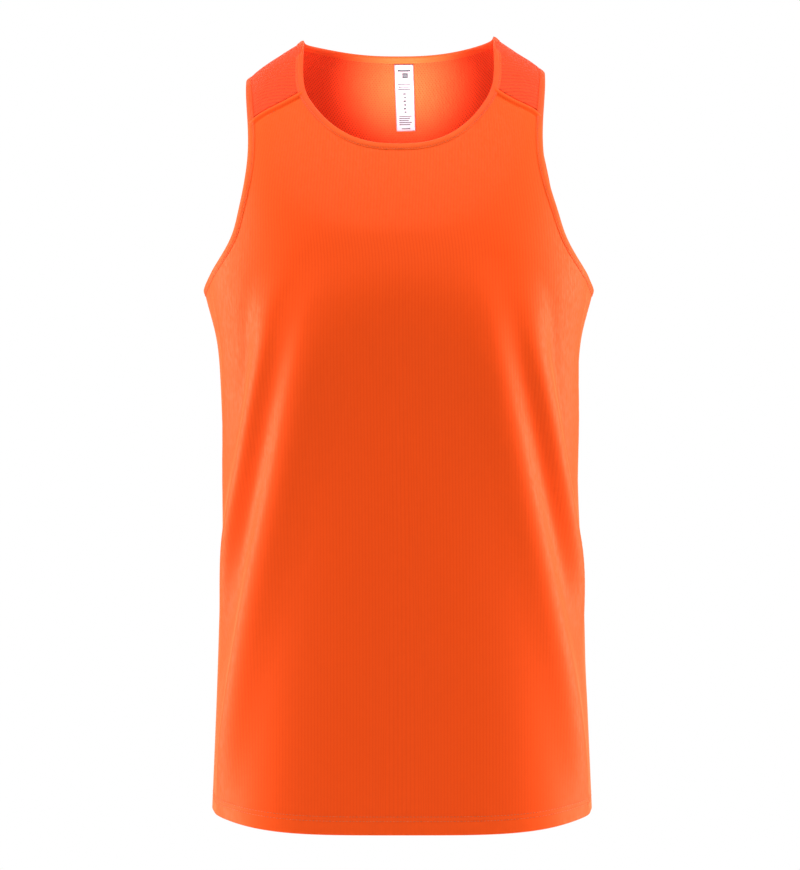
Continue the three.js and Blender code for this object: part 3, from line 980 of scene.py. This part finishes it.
@dataclass
class Panel:
    """One half of the body, from the turned hem to the shoulder seams and the neck.

    Rows run from one side edge to the other. The side edge is the side seam, then the armhole,
    then the shoulder seam. Rows stay level over the middle and bend to meet their ends.
    """

    cloth: Cloth
    half: Half
    lead: float  # rise that the centre line has reached where the shoulder seam starts
    columns: int = 200
    side_rows: int = 62
    armhole_rows: int = 64
    shoulder_rows: int = 18
    row_bend: float = 3.0
    row_lag: float = 45.0
    crowding: float = 1.35

    def side_edge(self, side: Side) -> tuple[Array, Array]:
        """Angles and rises up one side edge.

        Args:
            side: Which edge.

        Returns:
            Angles and rises, one of each for every row.
        """
        armhole = Armhole(self.cloth, side)
        start = 0.0 if self.half is Half.FRONT else 360.0
        turns = armhole.even_turns(start, SEAM_TURN, self.armhole_rows)
        arm_angle, arm_rise = armhole.inset(turns, TUCK)
        above = np.linspace(HEM_ROWS[-1], arm_rise[0], self.side_rows + 1)[1:-1]
        side_rise = np.concatenate([HEM_ROWS, above])
        side_angle = np.full(len(side_rise), 90.0 * side.value)
        over_angle, over_rise = armhole.shoulder(
            TUCK, np.linspace(0, 1, self.shoulder_rows + 1)[1:]
        )
        return (
            np.concatenate([side_angle, arm_angle, over_angle]),
            np.concatenate([side_rise, arm_rise, over_rise]),
        )

    def centre_rises(self, edge_rises: Array) -> Array:
        """Rises down the centre line that go with the rows of the side edge.

        They lag behind the side seam up to the underarm, climb early beside the armhole and
        then close up evenly to the neck.

        Args:
            edge_rises: Rises up the side edge, one for every row.

        Returns:
            Rises up the centre line.
        """
        top = self.cloth.neck_rise(float(self.half.value), TUCK)
        count = len(edge_rises) - self.armhole_rows - 1 - self.shoulder_rows
        underarm, hem = edge_rises[count], HEM_ROWS[-1]
        start = underarm - self.row_lag
        side = edge_rises[:count]
        lagging = hem + (side - hem) * (start - hem) / (underarm - hem)
        side = np.where(side < hem, side, lagging)
        share = np.linspace(0, 1, self.armhole_rows + 1)
        beside = start + (self.lead - start) * (1 - (1 - share) ** 3) ** 2
        over = np.linspace(self.lead, top, self.shoulder_rows + 1)[1:]
        return np.concatenate([side, beside, over])

    def places(self) -> tuple[Array, Array]:
        """Grid of angles and rises over the panel, hem row first."""
        right_angle, right_rise = self.side_edge(Side.RIGHT)
        left_angle, left_rise = self.side_edge(Side.LEFT)
        centre = self.centre_rises(left_rise)
        across = np.linspace(-1, 1, self.columns + 1)
        reach = 1 - (1 - np.abs(across)) ** self.crowding
        side = np.where(across < 0, -1.0, 1.0)
        on_left = (side > 0)[None, :]
        edge_angle = np.where(on_left, np.abs(left_angle)[:, None], np.abs(right_angle)[:, None])
        edge_rise = np.where(on_left, left_rise[:, None], right_rise[:, None])
        middle = even_girth(float(self.half.value))
        angle = side * even_angle(middle + (even_girth(edge_angle) - middle) * reach)
        rise = centre[:, None] + (edge_rise - centre[:, None]) * reach**self.row_bend
        last = len(centre) - 1
        neck_share = np.maximum(0, 1 - (last - np.arange(last + 1)) / self.shoulder_rows)[:, None]
        rise = rise + (self.cloth.neck_rise(angle, TUCK) - rise) * neck_share
        return angle, rise

    def build(self, name: str) -> bpy.types.Object:
        """Two grids, one on each face, that meet all round the panel's edge.

        Thickness rounds off to nothing at the edges, doubles over the turned hem, and the
        cloth dips along its seams.

        Args:
            name: Name of the panel's object.

        Returns:
            The panel.
        """
        angle, rise = self.places()
        middle = self.cloth.point(angle, rise)
        to_side, to_end = edge_distance(middle)
        hem = 1 - smoothstep(rise, HEM_DEPTH - 0.3, HEM_DEPTH + 0.9)
        thick = CLOTH * (1 + hem) / 2 * rounded(np.minimum(to_side, to_end), CLOTH * 0.75)
        core = SEAM_DIP.height(to_side) - CLOTH / 2 * hem
        for row in HEM_STITCH_RISES:
            core = core + HEM_STITCH_DIP.height(rise - row)
        across = self.cloth.girth_map(angle, rise) * np.sign(angle)
        if self.half is Half.FRONT:
            over = np.arange(len(rise))[:, None] >= len(rise) - 1 - self.shoulder_rows
            seam = WELT.height(to_side - WELT_PLACE)
            seam = seam + WELT_GROOVE.height(to_side - SHOULDER_STITCH_PLACE)
            core = core + over * seam
        else:
            half_round = self.cloth.girth_map(np.full(rise.shape, 180.0), rise)
            across = half_round * np.sign(angle) - across
        pattern = grid(across, rise * METRE)
        layer = partial(self.cloth.point, angle, rise)
        return make_object(name, two_faced(layer, core, thick, pattern))




# Section of a folded binding, from the outer leaf's sewn edge over the fold to the inner leaf's
# and back inside: distance from the fold, and height off the cloth's middle.
BINDING_FACE = np.array([
    (7.0, 0.62), (6.8, 0.86), (6.3, 0.98), (5.8, 0.84), (5.4, 0.84), (4.9, 1.05), (4.2, 1.22),
    (3.2, 1.32), (2.2, 1.3), (1.3, 1.14), (0.6, 0.84), (0.15, 0.42), (0.0, 0.0),
])
BINDING_INSIDE = np.array([
    (7.0, -0.5), (1.4, -0.5), (1.1, 0.0), (1.4, 0.5), (7.0, 0.5), (7.0, 0.62),
])
BINDING_CREST = 6  # number of the face's point whose path gives the binding's length


def binding_section() -> Array:
    """The closed section of a folded binding: the outer face, its mirror image and the inside."""
    under = BINDING_FACE[-2::-1] * (1, -1)
    return np.concatenate([BINDING_FACE, under, BINDING_INSIDE])


@dataclass
class Binding:
    """A folded strip round one opening, carried along its closed edge."""

    cloth: Cloth
    along: Callable[[Array], tuple[Array, Array]]  # distances from the fold to angles and rises

    def build(self, name: str) -> bpy.types.Object:
        """Sweeps the section round the opening.

        Args:
            name: Name of the binding's object.

        Returns:
            The binding.
        """
        section = binding_section()
        angle, rise = self.along(section[:, 0][:, None])
        height = np.broadcast_to(section[:, 1][:, None], angle.shape)
        points = self.cloth.point(angle, rise, height)
        around = travelled(points[BINDING_CREST])[None, :]
        across = travelled(section)[:, None]
        return make_object(name, [Patch(points, grid(around, across) * METRE)])


def read_path(values: Array, lengths: Array, at: Array) -> Array:
    """Values along a path, read between its points at given distances.

    Args:
        values: One row of three for each point of the path.
        lengths: Distance along the path to each point.
        at: Distances to read.

    Returns:
        One row of three for each distance.
    """
    return np.stack([np.interp(at, lengths, column) for column in values.T], -1)


@dataclass
class StitchRow:
    """A row of straight stitches along a path on the cloth."""

    cloth: Cloth
    pitch: float = 2.9
    length: float = 2.3
    radius: float = 0.26
    lift: float = 0.1
    rings: int = 4
    sides: int = 6
    feel: float = 0.4  # how far ahead and back a stitch feels for its direction

    def template(self) -> tuple[Array, list[tuple[int, ...]]]:
        """One stitch along its own axis: a lens-shaped body with a point at each end.

        Returns:
            Points as shares of length, radius and radius, and the faces.
        """
        along = np.linspace(-0.5, 0.5, self.rings + 2)[1:-1]
        swell = np.sqrt(1 - (2 * along) ** 2) ** 0.7
        turn = np.linspace(0, 2 * np.pi, self.sides, endpoint=False)
        swell = swell[:, None]
        body = grid(along[:, None], swell * np.cos(turn), swell * np.sin(turn)).reshape(-1, 3)
        points = np.concatenate([body, [(-0.5, 0, 0), (0.5, 0, 0)]])
        start, stop = len(body), len(body) + 1
        faces: list[tuple[int, ...]] = []
        for j in range(self.sides):
            k = (j + 1) % self.sides
            last = (self.rings - 1) * self.sides
            faces += [(start, k, j), (stop, last + j, last + k)]
            for i in range(self.rings - 1):
                low, high = i * self.sides, (i + 1) * self.sides
                faces.append((low + j, low + k, high + k, high + j))
        return points, faces

    def build(self, name: str, paths: Sequence[tuple[Array, Array, float]]) -> bpy.types.Object:
        """Lays stitches evenly along each path.

        Args:
            name: Name of the object.
            paths: Angles, rises and height off the cloth's middle for each path.

        Returns:
            All the stitches as one object.
        """
        shape, faces = self.template()
        all_points, all_faces, start = [], [], 0
        for angle, rise, offset in paths:
            points = self.cloth.point(angle, rise, np.full(angle.shape, offset + self.lift))
            out = self.cloth.normal(angle, rise) * np.sign(offset)
            lengths = travelled(points)
            count = max(2, int(lengths[-1] / self.pitch))
            middle = (np.arange(count) + 0.5) * lengths[-1] / count
            centre, normal = read_path(points, lengths, middle), read_path(out, lengths, middle)
            tangent = read_path(points, lengths, middle + self.feel)
            tangent -= read_path(points, lengths, middle - self.feel)
            tangent /= np.linalg.norm(tangent, axis=1, keepdims=True)
            side = np.cross(normal, tangent)
            side /= np.linalg.norm(side, axis=1, keepdims=True)
            normal = np.cross(tangent, side)
            axes = np.stack([tangent, side, normal], axis=1)
            local = shape * (self.length, self.radius, self.radius)
            all_points.append((centre[:, None] + local @ axes).reshape(-1, 3))
            for stitch in range(count):
                shift = start + stitch * len(shape)
                all_faces.extend(tuple(corner + shift for corner in face) for face in faces)
            start += count * len(shape)
        return mesh_object(name, np.concatenate(all_points), all_faces)


@dataclass
class Body:
    """The two panels with their hem and shoulder seam stitching."""

    cloth: Cloth

    def build(self) -> None:
        """Makes and dresses the panels and their stitches."""
        knit, mesh = FRONT_KNIT.make(), BACK_MESH.make()
        thread = THREAD.make()
        front = Panel(self.cloth, Half.FRONT, 660).build("front")
        dress(front, knit, "front_panel")
        back = Panel(self.cloth, Half.BACK, 697, armhole_rows=72).build("back")
        dress(back, mesh, "back_panel")
        hem = StitchRow(self.cloth).build("hem_stitches", self.hem_paths())
        dress(hem, thread)
        row = StitchRow(self.cloth, lift=0.2, radius=0.3)
        dress(row.build("shoulder_stitches", self.shoulder_paths()), thread)

    def hem_paths(self) -> list[tuple[Array, Array, float]]:
        """Rows round the hem, as angles, rises and height."""
        angle = np.linspace(-179, 179, 900)
        height = CLOTH / 2 + HEM_STITCH_DIP.out
        return [(angle, np.full(len(angle), rise), height) for rise in HEM_STITCH_RISES]

    def shoulder_paths(self) -> list[tuple[Array, Array, float]]:
        """A row beside each shoulder seam, as angles, rises and height."""
        paths = []
        for side in Side:
            armhole = Armhole(self.cloth, side)
            angle, rise = armhole.shoulder(BINDING_WIDTH + 1, np.linspace(0, 1, 60))
            turn, _, _ = self.cloth.directions(angle, rise)
            shift = side.value * SHOULDER_STITCH_PLACE / np.linalg.norm(turn, axis=-1)
            paths.append((angle - shift, rise, CLOTH / 2 + WELT_GROOVE.out))
        return paths


@dataclass
class Trims:
    """The neck and armhole bindings with their stitching."""

    cloth: Cloth
    steps: int = 360
    groove: float = 5.6  # distance of the stitched groove from the fold
    groove_height: float = 0.86

    def neck(self, width: Array) -> tuple[Array, Array]:
        """Angles and rises at a distance from the neck's fold, starting at the back centre.

        Args:
            width: Distances from the fold, one for each row.

        Returns:
            Angles and rises.
        """
        angle = np.linspace(-180, 180, self.steps + 1)[None, :]
        angle = np.where(angle == 180, -180, angle)
        base = self.cloth.neck_rise(angle, 1.0) - NECK_RISE
        angle, width = np.broadcast_arrays(angle, width)
        return angle, NECK_RISE + base * width

    def armhole(self, side: Side) -> Callable[[Array], tuple[Array, Array]]:
        """The same for an armhole, starting at the underarm.

        Args:
            side: Which armhole.

        Returns:
            The way along it, as for the neck.
        """
        hole = Armhole(self.cloth, side)
        turns = hole.even_turns(0, 360, self.steps)[None, :]

        def along(width: Array) -> tuple[Array, Array]:
            """Angles and rises at a distance from the fold."""
            spread, reach = np.broadcast_arrays(turns, width)
            return hole.inset(spread, reach)

        return along

    def build(self) -> None:
        """Makes and dresses the bindings and their stitches."""
        trim, thread = BINDING.make(), DARK_THREAD.make()
        row = StitchRow(self.cloth, pitch=2.6, length=2.0, lift=0.02)
        # Left and right in the node names are as seen from the front.
        ways = (
            ("neck_binding", self.neck, 0.575),
            ("armhole_binding_left", self.armhole(Side.RIGHT), 0.54),
            ("armhole_binding_right", self.armhole(Side.LEFT), 0.54),
        )
        for node, along, length in ways:
            name = node.replace("_binding", "_trim")
            piece = Binding(self.cloth, along).build(name)
            dress(piece, trim, node)
            angle, rise = (value[0] for value in along(np.array([[self.groove]])))
            stitches = row.build(name + "_stitches", [(angle, rise, self.groove_height)])
            dress(stitches, thread)


@dataclass
class Label:
    """The care label, hung inside the back of the neck with a plain printed layout of bars."""

    cloth: Cloth
    left: float = -4.6
    width: float = 17.9
    length: float = 63.0
    lean: float = 2.2
    lift: float = 2.5
    thick: float = 0.35
    clear: float = 1.5

    def point(self, x: Array, down: Array, offset: Array) -> Array:
        """Point of the label's middle layer, moved towards the front by offset.

        Args:
            x: Distance from the label's left edge.
            down: Distance down from its top.
            offset: Distance off its middle, towards the inside of the singlet.

        Returns:
            Points in millimetres.
        """
        x, down, offset = np.broadcast_arrays(x, down, offset)
        top = self.cloth.neck_rise(180.0, BINDING_WIDTH + 0.45)
        _, up, _ = self.cloth.directions(180.0, top)
        rise = top - down / np.linalg.norm(up)
        share = down / self.length
        ring = dict(zip(RING_COLUMNS, np.moveaxis(self.cloth.rings(rise), -1, 0)))
        from_middle = self.left + self.lean * share + x - self.cloth.hang(rise)[..., 0]
        turn = np.degrees(np.arcsin((np.abs(from_middle) / ring["half"]) ** (1 / ring["wide"])))
        angle = 180 - np.sign(from_middle) * turn
        wavy = 0.5 * np.sin(np.pi * x / self.width) * np.sin(2.5 * share) ** 2
        return self.cloth.point(angle, rise, -(self.clear + self.lift * share**2 + wavy + offset))

    def build(self) -> None:
        """Makes and dresses the label and its print."""
        x = np.linspace(0, self.width, 17)[None, :]
        down = np.linspace(0, self.length, 57)[:, None]
        middle = self.point(x, down, np.array(0.0))
        to_side, to_end = edge_distance(middle)
        half = self.thick / 2 * rounded(np.minimum(to_side, to_end), 0.4)
        layer = partial(self.point, x, down)
        label = make_object("label", two_faced(layer, 0.0, half, grid(x, down) * METRE))
        dress(label, SHADED_LABEL_TAPE.make(), "care_label")
        patches = [patch for place in self.layout() for patch in self.bar(*place)]
        dress(make_object("label_print", patches, 0.0005), LABEL_INK.make())

    def layout(self) -> list[tuple[float, float, float, float]]:
        """Generic bars as left, top, width and height in millimetres."""
        wide = [(3.2, 5.0, 11.6, 2.0)]
        block = [(7.2, 8.4, 5.2, 5.2)]
        lines = [(2.6 + 0.8 * (k % 2), 19.0 + 2.3 * k, 11.4 - 1.6 * (k % 2), 1.1) for k in range(3)]
        marks = [(7.4 + 0.6 * (k % 2), 27.5 + 3.4 * k, 2.6 - 0.5 * (k % 2), 1.8) for k in range(6)]
        small = [(3.0, 48.6 + 1.9 * k, 11.6 - 1.4 * (k % 3), 1.0) for k in range(5)]
        last = [(5.0, 60.0, 8.0, 1.0)]
        return wide + block + lines + marks + small + last

    def bar(self, left: float, top: float, width: float, height: float) -> list[Patch]:
        """One thin printed bar: two small grids that meet round its edge.

        Args:
            left: Distance from the label's left edge.
            top: Distance below its top.
            width: Width of the bar.
            height: Height of the bar.

        Returns:
            The two grids.
        """
        x = left + np.linspace(0, width, 7)[None, :]
        down = top + np.linspace(0, height, 5)[:, None]
        edge = np.zeros((5, 7))
        edge[1:-1, 1:-1] = 0.04
        base = self.thick / 2 + 0.03
        return two_faced(partial(self.point, x, down), base, edge, grid(x, down) * METRE)


# --- studio ---------------------------------------------------------------------------------


@dataclass(frozen=True)
class Softbox:
    """A soft rectangular light that faces a point."""

    name: str
    place: Position
    aim: Position
    size: tuple[float, float]
    power: float
    spread: float = 180  # degrees

    def hang(self) -> None:
        """Adds the light."""
        data = bpy.data.lights.new(self.name, "AREA")
        data.shape = "RECTANGLE"
        data.size, data.size_y = self.size
        data.energy = self.power
        data.spread = np.radians(self.spread)
        lamp = link(self.name, data)
        lamp.location = self.place
        lamp.visible_camera = False
        way = Vector(self.aim) - Vector(self.place)
        lamp.rotation_euler = way.to_track_quat("-Z", "Y").to_euler()


@dataclass
class Studio:
    """Camera, pale floor, white surround and soft lights."""

    camera_place: Position = (0.0009, -3.0, -0.3564)
    lens: float = 137.93
    floor_drop: float = 0.4
    floor_radius: float = 2.6
    softboxes: tuple[Softbox, ...] = (
        Softbox("left_box", (-1.6, 0.0, -0.25), (0, 0, -0.36), (1.0, 2.2), 47),
        Softbox("right_box", (1.6, 0.0, -0.25), (0, 0, -0.36), (1.0, 2.2), 47),
        Softbox("top_box", (0, -0.7, 1.3), (0, 0, -0.2), (1.6, 1.0), 28),
        Softbox("back_box", (0, 1.6, 1.2), (0, 0, -0.2), (1.8, 1.0), 10),
        Softbox("neck_box", (0.004, -0.035, -0.125), (0.006, 0.1, -0.02), (0.03, 0.03), 0.072, 48),
    )

    def camera(self) -> None:
        """Adds the camera, looking level along +Y."""
        data = bpy.data.cameras.new("camera")
        data.lens = self.lens
        data.sensor_width = 36.0
        data.sensor_fit = "AUTO"
        viewer = link("camera", data)
        viewer.location = self.camera_place
        viewer.rotation_euler = (np.pi / 2, 0, 0)
        bpy.context.scene.camera = viewer

    def floor(self) -> None:
        """Adds a round pale floor below the hem: a disc of rings round a centre."""
        radius = np.linspace(0, self.floor_radius, 9)[:, None] / METRE
        turn = np.linspace(0, 2 * np.pi, 65)[None, :]
        height = np.full((9, 65), (CAD_BOX[0][2] - self.floor_drop) / METRE)
        points = np.stack([radius * np.cos(turn), radius * np.sin(turn), height], -1)
        floor = make_object("floor", [Patch(points, points[..., :2] * METRE)], 0.01)
        shade = Shader("pale_floor")
        shade.coat(linear(244, 244, 244), 0.9)
        floor.data.materials.append(shade.material)

    def surround(self) -> None:
        """A white surround for the eye that gives only a little light of its own."""
        world = bpy.data.worlds.new("surround")
        bpy.context.scene.world = world
        world.use_nodes = True
        nodes, links = world.node_tree.nodes, world.node_tree.links
        background = nodes["Background"]
        background.inputs["Color"].default_value = (1, 1, 1, 1)
        path = nodes.new("ShaderNodeLightPath")
        strength = nodes.new("ShaderNodeMapRange")
        strength.inputs["To Min"].default_value = 0.19
        strength.inputs["To Max"].default_value = 1.0
        links.new(path.outputs["Is Camera Ray"], strength.inputs["Value"])
        links.new(strength.outputs[0], background.inputs["Strength"])

    def build(self) -> None:
        """Sets up the studio."""
        self.camera()
        self.floor()
        self.surround()
        for softbox in self.softboxes:
            softbox.hang()
        bpy.context.scene.view_settings.view_transform = "Standard"
        bpy.context.scene.view_settings.look = "None"


def main() -> None:
    """Builds the studio and the singlet's pieces in order."""
    logging.basicConfig(level=logging.INFO, format="%(name)s: %(message)s")
    Studio().build()
    cloth = Cloth()
    Body(cloth).build()
    Trims(cloth).build()
    Label(cloth).build()


if __name__ == "__main__":
    main()
